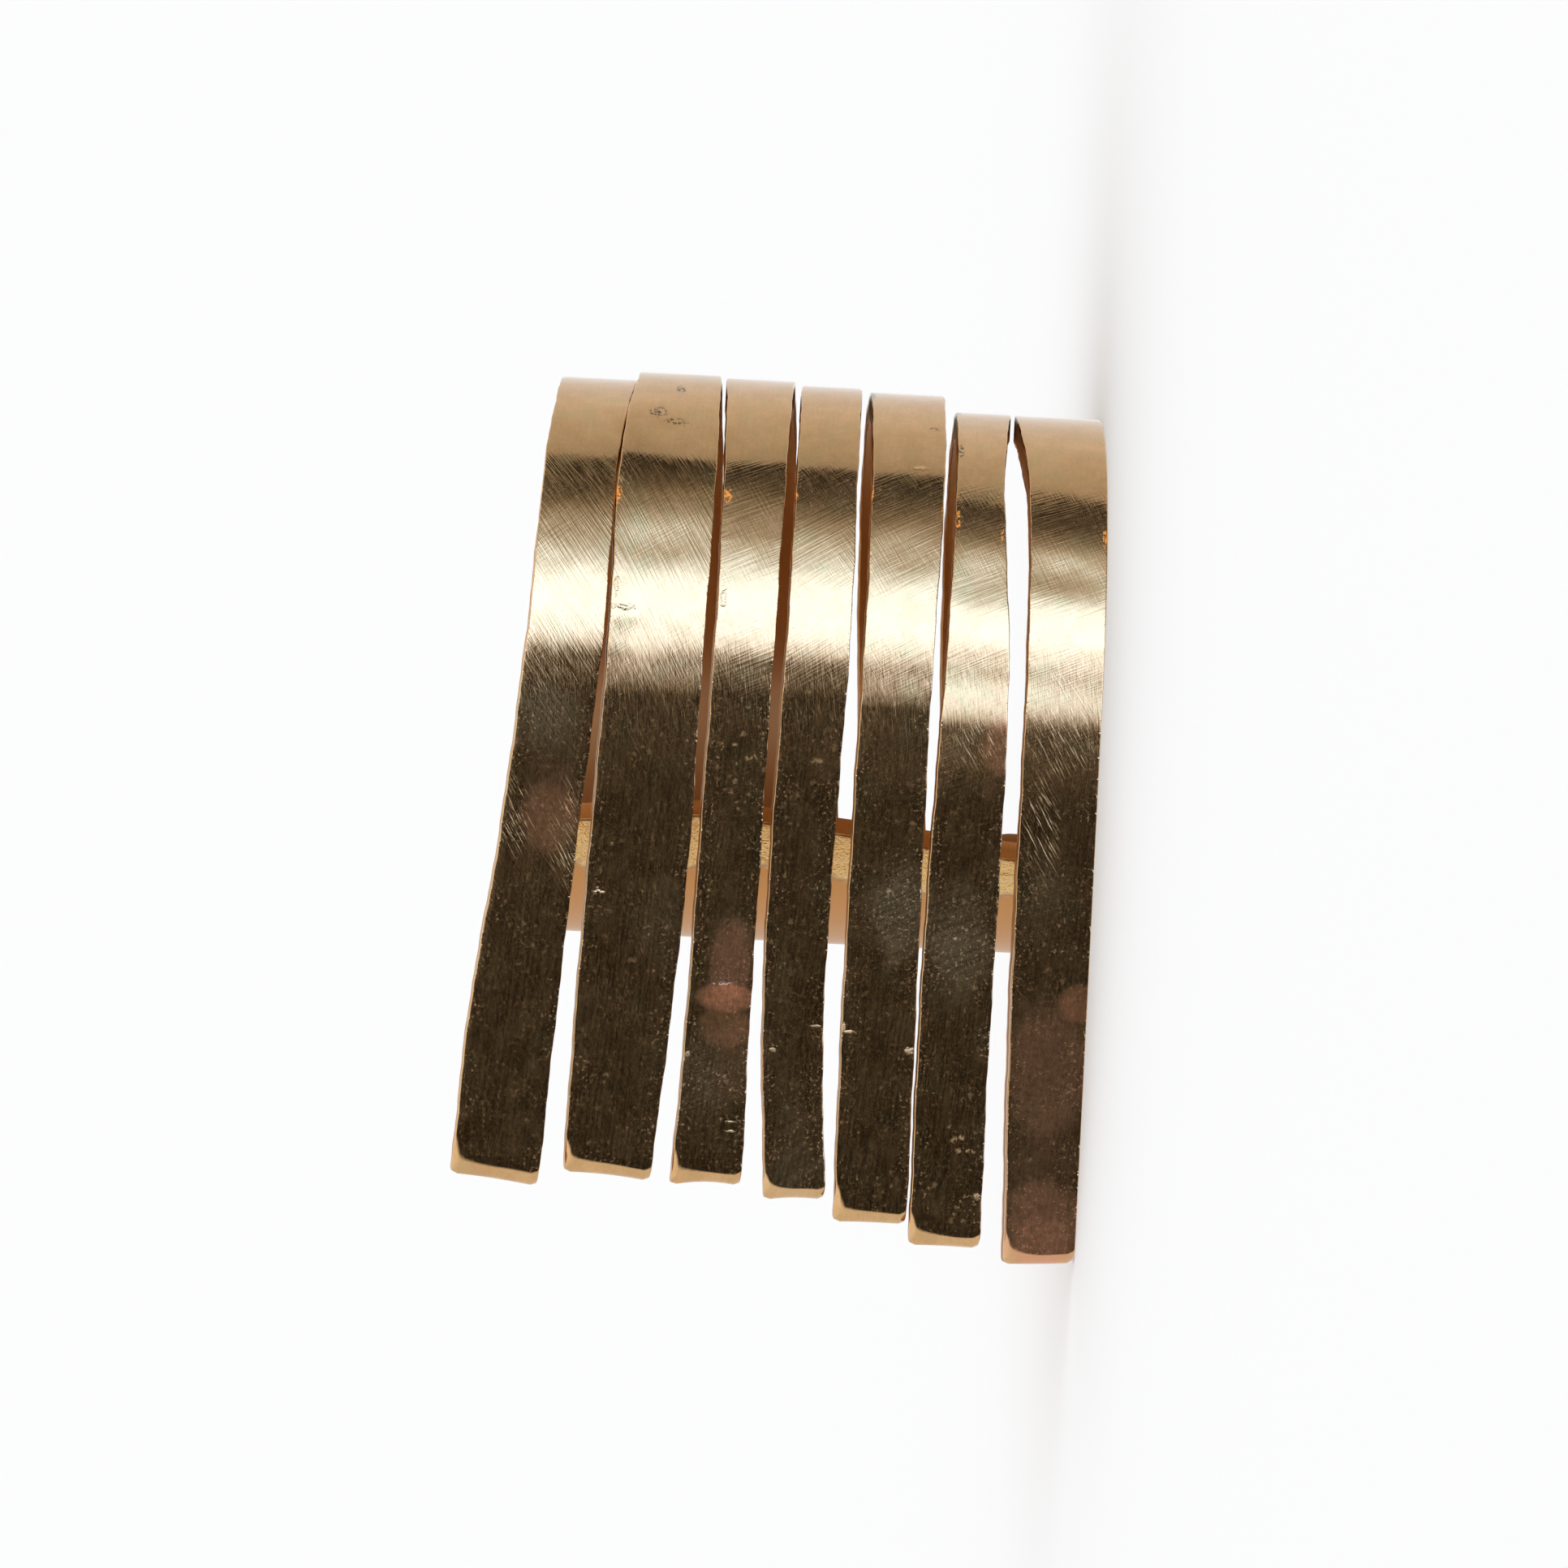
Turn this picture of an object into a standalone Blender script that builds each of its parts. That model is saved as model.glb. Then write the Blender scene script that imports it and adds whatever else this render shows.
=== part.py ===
"""A wide open finger ring, sawn and bent from one sheet of gold-coloured metal.

A plain band lies under the finger. From it a comb of strips goes up the back, over the top and
down the front, and ends in straight free tails that pass in front of the band's own free end.

The ring lies on its side, on the outer edge of its lowest strip. +Z is up and along the finger's
axis, the tails point along -X, and the face of the strips looks along -Y. The origin is under
the middle of the bounding box.
"""

import math
from typing import NamedTuple

import bmesh
import bpy
import numpy as np

# Driving sizes, in metres
FINGER_BORE = 0.0173
METAL = 0.00095
BAND_WIDTH = 0.0188
LONGEST_TAIL = 0.02026
EDGE_ROUND = 0.00012

# Angles round the finger, in degrees from the bottom of the loop towards its back
SLIT_ANGLE = 46.0
BACK_ANGLE = 125.0
FOLD_ANGLE = 180.0
BROW_ANGLE = 228.0
FRONT_ANGLE = 270.0
# The band's free end isn't square: its angle past the bottom, at shares of the band's width
END_SHARES = (0.0, 0.70, 1.0)
END_ANGLES = (-46.5, -56.5, -53.0)
# Where each tail's edges are measured between the front and the tip, as shares of the tail
MIDDLE_SHARE = 0.35
LOW_SHARE = 0.68

BAND_ROWS = 12
ARC_ROWS = 29
TAIL_ROWS = 6
EDGE_SEGMENTS = 2

METAL_COLOUR = (0.62, 0.43, 0.17, 1.0)
METAL_ROUGHNESS = 0.28


class Edge(NamedTuple):
    """Heights of one edge of a strip as shares of BAND_WIDTH, from the slit's root to the tip."""

    slit: float
    back: float
    fold: float
    brow: float
    front: float
    middle: float
    low: float
    tip: float


class Strip(NamedTuple):
    """One strip. `tail` is its length below the loop's centre as a share of LONGEST_TAIL. `crown`
    and `skew` are shares of METAL: how far the fold stands out, and how much further the tip's
    lower corner reaches than its upper one."""

    lower: Edge
    upper: Edge
    tail: float
    crown: float
    skew: float


# From the floor up
STRIPS = (
    Strip(
        lower=Edge(0.0, 0.0, 0.0, 0.0, 0.0, 0.0, 0.0, 0.0),
        upper=Edge(0.078, 0.098, 0.157, 0.144, 0.141, 0.142, 0.139, 0.129),
        tail=1.0, crown=-0.58, skew=-0.14,
    ),
    Strip(
        lower=Edge(0.120, 0.152, 0.166, 0.190, 0.174, 0.173, 0.177, 0.175),
        upper=Edge(0.228, 0.262, 0.267, 0.280, 0.292, 0.304, 0.308, 0.306),
        tail=0.979, crown=-0.56, skew=0.01,
    ),
    Strip(
        lower=Edge(0.255, 0.278, 0.291, 0.302, 0.315, 0.3155, 0.314, 0.3125),
        upper=Edge(0.380, 0.425, 0.427, 0.436, 0.444, 0.449, 0.450, 0.447),
        tail=0.945, crown=0.0, skew=-0.02,
    ),
    Strip(
        lower=Edge(0.412, 0.441, 0.444, 0.463, 0.470, 0.480, 0.483, 0.464),
        upper=Edge(0.500, 0.515, 0.553, 0.576, 0.588, 0.597, 0.5955, 0.576),
        tail=0.912, crown=0.12, skew=-0.11,
    ),
    Strip(
        lower=Edge(0.516, 0.531, 0.567, 0.595, 0.609, 0.614, 0.619, 0.619),
        upper=Edge(0.640, 0.652, 0.693, 0.710, 0.720, 0.729, 0.736, 0.750),
        tail=0.895, crown=0.25, skew=-0.09,
    ),
    Strip(
        lower=Edge(0.657, 0.668, 0.703, 0.724, 0.739, 0.745, 0.764, 0.788),
        upper=Edge(0.826, 0.838, 0.853, 0.904, 0.916, 0.930, 0.941, 0.948),
        tail=0.888, crown=0.32, skew=0.20,
    ),
    Strip(
        lower=Edge(0.843, 0.850, 0.860, 0.910, 0.927, 0.953, 0.975, 0.993),
        upper=Edge(0.975, 0.985, 0.997, 1.042, 1.067, 1.097, 1.136, 1.155),
        tail=0.903, crown=0.02, skew=0.34,
    ),
)


def clear_scene():
    for obj in list(bpy.data.objects):
        bpy.data.objects.remove(obj, do_unlink=True)


def middle_radius():
    return (FINGER_BORE + METAL) / 2


def along(angle):
    """Length along the middle of the metal from the bottom of the loop to this angle."""
    return middle_radius() * math.radians(angle)


def blend(stations, values, at):
    """A smooth curve through the values, with slopes from their neighbours."""
    stations = np.asarray(stations, float)
    values = np.asarray(values, float)
    slopes = np.gradient(values, stations)
    right = int(np.clip(np.searchsorted(stations, at), 1, len(stations) - 1))
    left = right - 1
    span = stations[right] - stations[left]
    t = min(max((at - stations[left]) / span, 0.0), 1.0)
    return (
        values[left] * (1 + 2 * t) * (1 - t) ** 2
        + values[right] * t * t * (3 - 2 * t)
        + slopes[left] * span * t * (1 - t) ** 2
        + slopes[right] * span * t * t * (t - 1)
    )


def on_loop(angle, crown=0.0):
    """(x, y) of the middle of the metal, from the loop's centre. The crown fades out to the
    back and the front as the square of a sine."""
    turn = math.radians(angle)
    radius = middle_radius()
    if angle > FOLD_ANGLE / 2:
        radius += crown * METAL * math.cos(turn) ** 2
    return -radius * math.cos(turn), radius * math.sin(turn)


def on_tail(down):
    """(x, y) on a tail, this far below the loop's centre."""
    return -down, -middle_radius()


def end_angle(share):
    return float(np.interp(share, END_SHARES, END_ANGLES))


def strip_rows(strip):
    """Pairs of points, (lower, upper), from the slit's root to the tip."""
    tail = strip.tail * LONGEST_TAIL
    turns = (SLIT_ANGLE, BACK_ANGLE, FOLD_ANGLE, BROW_ANGLE, FRONT_ANGLE)
    stations = [along(angle) for angle in turns]
    stations += [along(FRONT_ANGLE) + share * tail for share in (MIDDLE_SHARE, LOW_SHARE, 1.0)]
    rows = []
    for angle in np.linspace(SLIT_ANGLE, FRONT_ANGLE, ARC_ROWS + 1):
        place = on_loop(angle, strip.crown)
        rows.append((along(angle), place, place))
    for share in np.arange(1, TAIL_ROWS + 1) / TAIL_ROWS:
        lean = strip.skew * METAL * share / 2
        down = share * tail
        rows.append((along(FRONT_ANGLE) + down, on_tail(down + lean), on_tail(down - lean)))
    points = []
    for at, low_place, high_place in rows:
        low = BAND_WIDTH * blend(stations, strip.lower, at)
        high = BAND_WIDTH * blend(stations, strip.upper, at)
        points.append(((*low_place, low), (*high_place, high)))
    return points


def band_rows():
    """Rows of points across the whole band, from its free end to the slits' roots."""
    shares = [edge.slit for strip in STRIPS for edge in (strip.lower, strip.upper)]
    rows = []
    for step in range(BAND_ROWS):
        row = []
        for share in shares:
            angle = end_angle(share) + (SLIT_ANGLE - end_angle(share)) * step / BAND_ROWS
            row.append((*on_loop(angle), share * BAND_WIDTH))
        rows.append(row)
    return rows


def ring_surface():
    """The middle surface of the metal: the band as one sheet, then each strip by itself."""
    mesh = bmesh.new()
    band = [[mesh.verts.new(point) for point in row] for row in band_rows()]
    roots = []
    strips = []
    for strip in STRIPS:
        rows = [[mesh.verts.new(point) for point in pair] for pair in strip_rows(strip)]
        roots += rows[0]
        strips.append(rows)
    band.append(roots)
    for rows in [band] + strips:
        for near, far in zip(rows, rows[1:]):
            for column in range(len(near) - 1):
                corners = (near[column], near[column + 1], far[column + 1], far[column])
                mesh.faces.new(corners)
    middle = [
        (max(v.co[axis] for v in mesh.verts) + min(v.co[axis] for v in mesh.verts)) / 2
        for axis in (0, 1)
    ]
    # The tips have no metal past them, but the fold and the back stand out by half of it
    middle[0] += METAL / 4
    bmesh.ops.translate(mesh, vec=(-middle[0], -middle[1], 0.0), verts=mesh.verts)
    bmesh.ops.recalc_face_normals(mesh, faces=mesh.faces)
    return mesh


def metal():
    material = bpy.data.materials.new("gold_tone_metal")
    material.use_nodes = True
    shader = material.node_tree.nodes["Principled BSDF"]
    shader.inputs["Base Color"].default_value = METAL_COLOUR
    shader.inputs["Metallic"].default_value = 1.0
    shader.inputs["Roughness"].default_value = METAL_ROUGHNESS
    return material


def fringe_ring(collection):
    data = bpy.data.meshes.new("fringe_ring")
    surface = ring_surface()
    surface.to_mesh(data)
    surface.free()
    data.materials.append(metal())
    ring = bpy.data.objects.new("fringe_ring", data)
    collection.objects.link(ring)
    thicken = ring.modifiers.new("thickness", "SOLIDIFY")
    thicken.thickness = METAL
    thicken.offset = 0.0
    thicken.use_even_offset = True
    soften = ring.modifiers.new("edges", "BEVEL")
    soften.width = EDGE_ROUND
    soften.segments = EDGE_SEGMENTS
    soften.limit_method = "ANGLE"
    soften.angle_limit = math.radians(40)
    data.shade_smooth()
    data.set_sharp_from_angle(angle=math.radians(30))
    return ring


def main():
    clear_scene()
    collection = bpy.data.collections.new("fringe_ring_parts")
    bpy.context.scene.collection.children.link(collection)
    fringe_ring(collection)


main()
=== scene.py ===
"""Looks of the fringed wrap ring: worn, finely scratched gold-tone metal on a pale floor.

The ring is one sheet of metal. Every place on it has two measures, both in metres: `path`, the
length along the middle of the metal from the bottom of the loop up the back, over the fold and
down the front, and `height`, which is along the finger's axis and is world Z.
"""

import math
from operator import attrgetter
from typing import NamedTuple

import bpy
import numpy as np
from mathutils import Matrix


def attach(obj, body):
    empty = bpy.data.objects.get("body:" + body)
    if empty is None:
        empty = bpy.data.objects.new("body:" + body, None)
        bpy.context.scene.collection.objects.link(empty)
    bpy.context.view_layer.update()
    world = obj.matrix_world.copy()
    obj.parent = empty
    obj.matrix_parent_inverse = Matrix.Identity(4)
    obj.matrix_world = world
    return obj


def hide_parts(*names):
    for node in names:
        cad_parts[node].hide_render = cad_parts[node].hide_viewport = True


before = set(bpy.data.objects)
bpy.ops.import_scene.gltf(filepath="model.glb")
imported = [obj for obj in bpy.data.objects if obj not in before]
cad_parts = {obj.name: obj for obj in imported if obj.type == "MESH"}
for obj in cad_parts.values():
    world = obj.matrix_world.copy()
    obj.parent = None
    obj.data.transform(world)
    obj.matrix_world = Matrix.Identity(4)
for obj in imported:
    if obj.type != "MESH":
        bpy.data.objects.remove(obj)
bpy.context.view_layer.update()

MM = 0.001

# Driving sizes, the same as in the part's source
FINGER_BORE = 17.3 * MM
METAL = 0.95 * MM
BAND_WIDTH = 18.8 * MM
LONGEST_TAIL = 20.26 * MM
MIDDLE_RADIUS = (FINGER_BORE + METAL) / 2
LOOP_CENTRE = (5.2113 * MM, 0.0)

# Angles round the finger, in degrees from the bottom of the loop towards its back
SLIT_ANGLE = 46.0
BACK_ANGLE = 125.0
FOLD_ANGLE = 180.0
BROW_ANGLE = 228.0
FRONT_ANGLE = 270.0
END_SHARES = (0.0, 0.7, 1.0)
END_ANGLES = (-46.5, -56.5, -53.0)
MIDDLE_SHARE = 0.35
LOW_SHARE = 0.68
# The slit over the lowest strip is cut shorter than the others, by an angle
LOW_SLIT_SHORTER = 5.0
LOW_SLIT_REACH = 0.8 * MM

# The grid of the sheet
EDGE_RADIUS = 0.055 * MM
CORNER_RADIUS = 0.24 * MM
EDGE_STEPS = (0.0, 0.134, 0.5, 1.0)
CORNER_INSET = 0.25 * MM
STRIP_SHARES = (0.22, 0.36, 0.5, 0.64, 0.78)
GAP_SHARES = (0.33, 0.67)
BAND_STEPS = 44
STRIP_STEPS = 304
LIP_STEPS = 16
LIP_REACH = 1.6 * MM
LIP_DEPTH = 0.6 * MM
WALL_STEPS = 2
# How fast a lip widens towards the upper corner, how much its width sways, the power of its
# ellipse at the lower corner, and how much less that is at the upper one
LIP_SWOOSH = 5
LIP_SWAY = 0.1
LIP_POWER = 1.9
LIP_POWER_LESS = 0.55
# How far past the front the saw leans over, from its start to the full
LEAN_SPAN = (4 * MM, 10 * MM)
# Angles between which the band's outside is polished more and more
POLISHED_FROM = (-14.0, 20.0)

# The camera, from the outline in the photo
PIXEL = 0.0282 * MM
FRAME_PIXELS = 1932
CENTRE_PIXEL = (1338.97, 837.84)
VIEW_ELEVATION = 3.17
CAMERA_LEAN = 0.0505
STAND_OFF = 2.0
SENSOR = 36.0
CLIP_START = 0.1
CLIP_END = 20.0

# The studio
FLOOR_HALF = 5.0
FLOOR_COLOUR = (0.92, 0.92, 0.92, 1.0)
FLOOR_ROUGHNESS = 0.9
PLAIN_LIGHT = (1.06, 1.06, 1.06, 1.0)
TOP_LIGHT = (1.25, 1.25, 1.25)
# How steep a direction is where the light from the top starts and is full
TOP_STARTS = (0.5, 0.8)


class Edge(NamedTuple):
    """Heights of one edge of a strip as shares of BAND_WIDTH, from the slit's root to the tip."""

    slit: float
    back: float
    fold: float
    brow: float
    front: float
    middle: float
    low: float
    tip: float


class Strip(NamedTuple):
    """One strip. `tail` is its length as a share of LONGEST_TAIL, `crown` and `skew` are shares
    of METAL. `slant` is how far the saw leant in its upper wall, `lip` the length of the
    rounding at the tip's lower and upper corner, `belly` how far the front bulges where the
    tail starts, and `hollow` how deep the tip's end was filed out, all in millimetres.
    `grain` is the turn of its scratches in degrees, 0 along the metal and 90 across it."""

    lower: Edge
    upper: Edge
    tail: float
    crown: float
    skew: float
    lip: tuple
    belly: float
    hollow: float
    grain: float
    slant: float = 0.0


# From the floor up
STRIPS = (
    Strip(
        lower=Edge(0.0, 0.0, 0.0, 0.0, 0.0, 0.0, 0.0, 0.0),
        upper=Edge(0.078, 0.098, 0.157, 0.144, 0.141, 0.142, 0.139, 0.129),
        tail=1.0, crown=-0.58, skew=-0.14, lip=(0.42, 1.1),
        belly=0.17, hollow=-0.02, grain=68.0, slant=0.06,
    ),
    Strip(
        lower=Edge(0.12, 0.152, 0.166, 0.19, 0.174, 0.173, 0.177, 0.175),
        upper=Edge(0.228, 0.254, 0.267, 0.28, 0.292, 0.304, 0.308, 0.306),
        tail=0.979, crown=-0.56, skew=0.01, lip=(0.46, 1.35),
        belly=0.19, hollow=0.02, grain=66.0,
    ),
    Strip(
        lower=Edge(0.262, 0.278, 0.291, 0.302, 0.315, 0.3155, 0.314, 0.3125),
        upper=Edge(0.376, 0.412, 0.427, 0.436, 0.444, 0.449, 0.45, 0.447),
        tail=0.945, crown=0.0, skew=-0.02, lip=(0.48, 1.45),
        belly=0.11, hollow=0.02, grain=62.0,
    ),
    Strip(
        lower=Edge(0.424, 0.441, 0.444, 0.463, 0.47, 0.48, 0.483, 0.464),
        upper=Edge(0.5, 0.515, 0.553, 0.576, 0.588, 0.597, 0.5955, 0.576),
        tail=0.912, crown=0.12, skew=-0.11, lip=(0.42, 0.95),
        belly=0.06, hollow=0.07, grain=58.0,
    ),
    Strip(
        lower=Edge(0.516, 0.531, 0.567, 0.595, 0.609, 0.614, 0.619, 0.619),
        upper=Edge(0.64, 0.652, 0.693, 0.71, 0.72, 0.729, 0.736, 0.75),
        tail=0.895, crown=0.25, skew=-0.09, lip=(0.46, 1.5),
        belly=0.06, hollow=0.12, grain=66.0,
    ),
    Strip(
        lower=Edge(0.657, 0.668, 0.703, 0.724, 0.739, 0.745, 0.764, 0.788),
        upper=Edge(0.826, 0.838, 0.853, 0.904, 0.916, 0.93, 0.941, 0.948),
        tail=0.888, crown=0.32, skew=0.2, lip=(0.5, 1.2),
        belly=0.09, hollow=0.06, grain=-28.0,
    ),
    Strip(
        lower=Edge(0.843, 0.85, 0.856, 0.907, 0.926, 0.953, 0.975, 0.993),
        upper=Edge(0.975, 0.985, 0.997, 1.042, 1.067, 1.097, 1.136, 1.155),
        tail=0.903, crown=0.02, skew=0.34, lip=(0.62, 1.3),
        belly=0.05, hollow=0.04, grain=-34.0,
    ),
)


# The shape

def path_at(angle):
    """Length along the middle of the metal from the bottom of the loop to an angle in degrees."""
    return MIDDLE_RADIUS * np.radians(angle)


def smooth_curve(stations, values, at):
    """A cubic through the values, with slopes from their neighbours, flat past both ends."""
    stations = np.asarray(stations, float)
    values = np.asarray(values, float)
    slopes = np.gradient(values, stations)
    right = np.clip(np.searchsorted(stations, at), 1, len(stations) - 1)
    left = right - 1
    span = stations[right] - stations[left]
    t = np.clip((at - stations[left]) / span, 0.0, 1.0)
    return (
        values[left] * (1 + 2 * t) * (1 - t) ** 2
        + values[right] * t * t * (3 - 2 * t)
        + slopes[left] * span * t * (1 - t) ** 2
        + slopes[right] * span * t * t * (t - 1)
    )


def edge_heights(strip, path):
    """Heights of a strip's lower and upper edge at lengths along the metal."""
    tail = strip.tail * LONGEST_TAIL
    turns = (SLIT_ANGLE, BACK_ANGLE, FOLD_ANGLE, BROW_ANGLE, FRONT_ANGLE)
    stations = [path_at(angle) for angle in turns]
    stations += [path_at(FRONT_ANGLE) + share * tail for share in (MIDDLE_SHARE, LOW_SHARE, 1.0)]
    low = BAND_WIDTH * smooth_curve(stations, strip.lower, path)
    high = BAND_WIDTH * smooth_curve(stations, strip.upper, path)
    return low, high


def new_object(name, data):
    """A new object of the scene, at the origin."""
    made = bpy.data.objects.new(name, data)
    bpy.context.scene.collection.objects.link(made)
    return made


def new_material(name):
    """A new material, its tree and its shader."""
    material = bpy.data.materials.new(name)
    material.use_nodes = True
    return material, material.node_tree, material.node_tree.nodes["Principled BSDF"]


def soft_step(values, start, stop):
    """0 up to the start, 1 from the stop on, and between them 3 s^2 - 2 s^3 of the share s."""
    share = np.clip((values - start) / (stop - start), 0.0, 1.0)
    return share * share * (3 - 2 * share)


def per_strip(strips, name):
    """The named measure of each numbered strip."""
    return np.array([attrgetter(name)(strip) for strip in STRIPS])[strips]


# Lengths and rises of the saw's wander along an edge, in millimetres
WANDER = ((4.3, 0.012), (1.9, 0.008), (0.8, 0.005))
WANDER_SEED = 40


def sawn_edges(number, path):
    """A strip's edges as they were sawn: three sine waves stray from the drawn line. The lowest
    edge was filed straight, because the ring lies on it."""
    low, high = edge_heights(STRIPS[number], path)
    draws = np.random.default_rng(WANDER_SEED + number)
    free = soft_step(path, path_at(SLIT_ANGLE), path_at(BACK_ANGLE))
    for length, rise in WANDER:
        turns = 2 * math.pi * path / (length * MM)
        for side in (low, high):
            wave = np.sin(turns + draws.uniform(0, 2 * math.pi))
            if number > 0 or side is high:
                side += free * rise * MM * wave
    return low, high


def grid_columns():
    """For each column its strip, or the strip under its gap, whether it is in a gap, the share of
    the width that it lies at, and how far it is set in from there, up if positive."""
    insets = np.array([step * EDGE_RADIUS for step in EDGE_STEPS] + [CORNER_INSET])
    edge, face, gap = len(insets), len(STRIP_SHARES), len(GAP_SHARES)
    share = np.concatenate((np.zeros(edge), STRIP_SHARES, np.ones(edge), GAP_SHARES))
    inset = np.concatenate((insets, np.zeros(face), -insets[::-1], np.zeros(gap)))
    in_gap = np.arange(len(share)) >= 2 * edge + face
    strips = np.repeat(np.arange(len(STRIPS)), len(share))
    repeated = [np.tile(values, len(STRIPS)) for values in (in_gap, share, inset)]
    # There is no gap over the last strip
    return [values[:-gap] for values in (strips, *repeated)]


def rounding_drop(distance, radius, depth, power=2.0):
    """How much lower the surface is at a distance from a rounded edge: a quarter of an ellipse
    with the given half axes, nothing past it. A power under 2 brings the ellipse closer to a
    straight chamfer."""
    reach = np.clip(1 - distance / radius, 0.0, 1.0)
    return depth * (1 - (1 - reach ** power) ** (1 / power))


def column_heights(columns, low, high, next_low):
    """Heights of the columns between their strip's edges, or between it and the next strip."""
    _, in_gap, share, inset = columns
    start = np.where(in_gap, high, low)
    stop = np.where(in_gap, next_low, high)
    return start + (stop - start) * share + inset


def column_ends(columns):
    """Lengths along the metal at the band's free end, the slits' roots and the tips, for each
    column. The corners of a tip recede as a quarter of a circle, its middle as a half sine."""
    strips, _, share, inset = columns
    above = np.minimum(strips + 1, len(STRIPS) - 1)
    low = per_strip(strips, "lower.slit") * BAND_WIDTH
    high = per_strip(strips, "upper.slit") * BAND_WIDTH
    next_low = per_strip(above, "lower.slit") * BAND_WIDTH
    height = column_heights(columns, low, high, next_low)
    end = path_at(np.interp(height / BAND_WIDTH, END_SHARES, END_ANGLES))
    low_gap = 0.5 * BAND_WIDTH * (STRIPS[0].upper.slit + STRIPS[1].lower.slit)
    near = np.exp(-((height - low_gap) / LOW_SLIT_REACH) ** 4)
    root = path_at(SLIT_ANGLE + LOW_SLIT_SHORTER * near)
    tail = per_strip(strips, "tail") * LONGEST_TAIL
    skew = per_strip(strips, "skew") * METAL
    tip_width = per_strip(strips, "upper.tip") - per_strip(strips, "lower.tip")
    tip_width *= BAND_WIDTH
    from_low = share * tip_width + inset
    from_side = np.minimum(from_low, tip_width - from_low)
    tip = path_at(FRONT_ANGLE) + tail + skew * (0.5 - from_low / tip_width)
    tip -= rounding_drop(from_side, CORNER_RADIUS, CORNER_RADIUS)
    hollow = per_strip(strips, "hollow") * MM
    tip -= hollow * np.sin(math.pi * np.clip(from_low / tip_width, 0.0, 1.0))
    return end, root, tip


def grid_paths(end, root, tip):
    """Length along the metal at every row and column. Rows crowd at the free end, the slits'
    roots and the tips, where the metal is rounded."""
    insets = np.array(EDGE_STEPS) * EDGE_RADIUS
    inner = np.arange(1, BAND_STEPS) / BAND_STEPS
    band = [end + inset for inset in insets]
    band += [end + (root - end) * share for share in inner]
    band += [root - inset for inset in insets[::-1]]
    inner = np.arange(1, STRIP_STEPS) / STRIP_STEPS
    lip_start = tip - LIP_REACH
    strips = [root + (lip_start - root) * share for share in inner]
    inner = np.arange(LIP_STEPS) / LIP_STEPS
    strips += [lip_start + (LIP_REACH - insets[-1]) * share for share in inner]
    strips += [tip - inset for inset in insets[::-1]]
    return np.array(band + strips), len(band)


def middle_place(path, crown):
    """(x, y) of the middle of the metal and its outward normal: a circle, then a straight tail.
    The crown, which lifts the fold, fades out as the square of a cosine."""
    turn = np.minimum(path, path_at(FRONT_ANGLE)) / MIDDLE_RADIUS
    down = np.maximum(path - path_at(FRONT_ANGLE), 0.0)
    lift = np.where(turn > math.pi / 2, crown * METAL * np.cos(turn) ** 2, 0.0)
    radius = MIDDLE_RADIUS + lift
    x = -radius * np.cos(turn) - down
    y = radius * np.sin(turn)
    return x + LOOP_CENTRE[0], y + LOOP_CENTRE[1], -np.cos(turn), np.sin(turn)


class Sheet(NamedTuple):
    """The worked-out grid: for each row and column its length along the metal, height, strip,
    share across the strip, distances from the nearest edge, the tip and the band's free end,
    and which cells are metal."""

    path: np.ndarray
    height: np.ndarray
    strip: np.ndarray
    across: np.ndarray
    edge: np.ndarray
    tip: np.ndarray
    end: np.ndarray
    metal: np.ndarray


def ring_sheet():
    """The grid of the whole sheet. A column keeps its share of its strip's or gap's width, and
    the nearest edge is the least of the distances to the sides, the roots and both ends."""
    columns = grid_columns()
    strips, in_gap = columns[:2]
    end, root, tip = column_ends(columns)
    path, band_count = grid_paths(end, root, tip)
    lows, highs = zip(*[sawn_edges(number, path) for number in range(len(STRIPS))])
    low = np.choose(strips, lows)
    high = np.choose(strips, highs)
    next_low = np.choose(np.minimum(strips + 1, len(STRIPS) - 1), lows)
    height = column_heights(columns, low, high, next_low)
    # Distance from the nearest cut edge
    from_low = height - low
    from_high = high - height
    before_root = np.maximum(root - path, 0.0)
    side_low = np.where(strips == 0, from_low, np.hypot(from_low, before_root))
    side_high = np.where(strips == len(STRIPS) - 1, from_high, np.hypot(from_high, before_root))
    edge = np.where(in_gap, before_root, np.minimum(side_low, side_high))
    edge = np.minimum(edge, np.minimum(path - end, tip - path))
    across = np.where(in_gap, 0.5, (height - low) / (high - low))
    # Past the slits' roots the gaps' cells aren't metal
    rows, count = path.shape
    metal = np.ones((rows - 1, count - 1), bool)
    metal[band_count - 1:, in_gap[:-1] | in_gap[1:]] = False
    strip_map = np.broadcast_to(strips, path.shape)
    return Sheet(path, height, strip_map, across, edge, tip - path, path - end, metal)


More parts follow.
